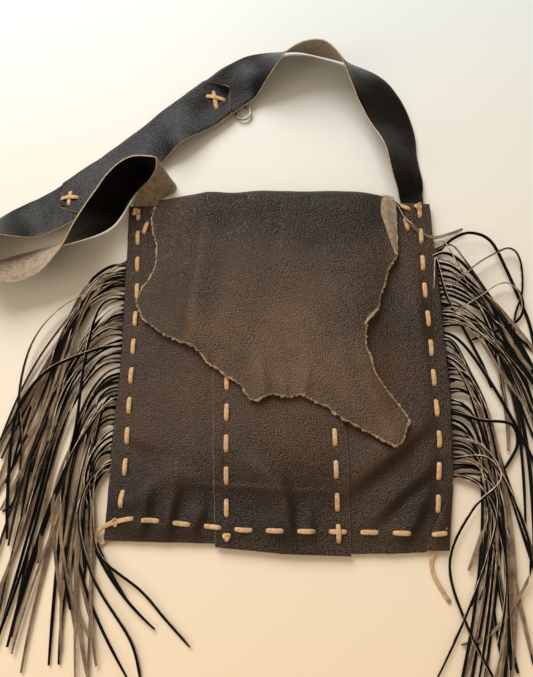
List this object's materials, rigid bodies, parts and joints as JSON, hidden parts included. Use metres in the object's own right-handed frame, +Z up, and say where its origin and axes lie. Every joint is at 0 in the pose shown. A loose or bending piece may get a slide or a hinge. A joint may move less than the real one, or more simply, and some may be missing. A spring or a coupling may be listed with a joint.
{
  "type": "fringed_leather_bag",
  "caption": "Black leather shoulder bag with a raw-edged flap, suede lacing and long side fringes, lying on its back with its strap looped above it.",
  "frame": {"origin": "Middle of the back panel's outer face, where the bag lies on the table", "axes": "X runs across the bag to its right side, Y from its foot to its mouth, Z up from the table"},
  "size_m": [0.5014, 0.5832, 0.0456],
  "materials": {
    "black_leather": "soft pebbled grain, taupe suede on the back",
    "tan_suede": "matt suede lace",
    "ring_steel": "worn nickel-coloured wire"
  },
  "bodies": {
    "bag": {"back_and_flap": "black_leather", "front_left_panel": "black_leather", "front_centre_panel": "black_leather", "front_right_panel": "black_leather", "fringe_left": "black_leather", "fringe_right": "black_leather", "strap_right": "black_leather", "strap_middle": "black_leather", "strap_left": "black_leather", "side_lace_left": "tan_suede", "side_lace_right": "tan_suede", "foot_lace": "tan_suede", "lace_tail": "tan_suede", "seam_lace_left": "tan_suede", "seam_lace_right": "tan_suede", "seam_knot": "tan_suede", "lap_lace_right_1": "tan_suede", "lap_lace_right_2": "tan_suede", "lap_lace_left_1": "tan_suede", "lap_lace_left_2": "tan_suede", "ring_loop": "tan_suede"},
    "ring": {"ring": "ring_steel"}
  },
  "joints": [
    {"name": "ring_swing", "type": "hinge", "parent": "bag", "child": "ring", "pos_m": [-0.0402, 0.25495, 0.0024], "axis": [0.6462, 0.7632, 0], "range_deg": [0, 85]}
  ]
}
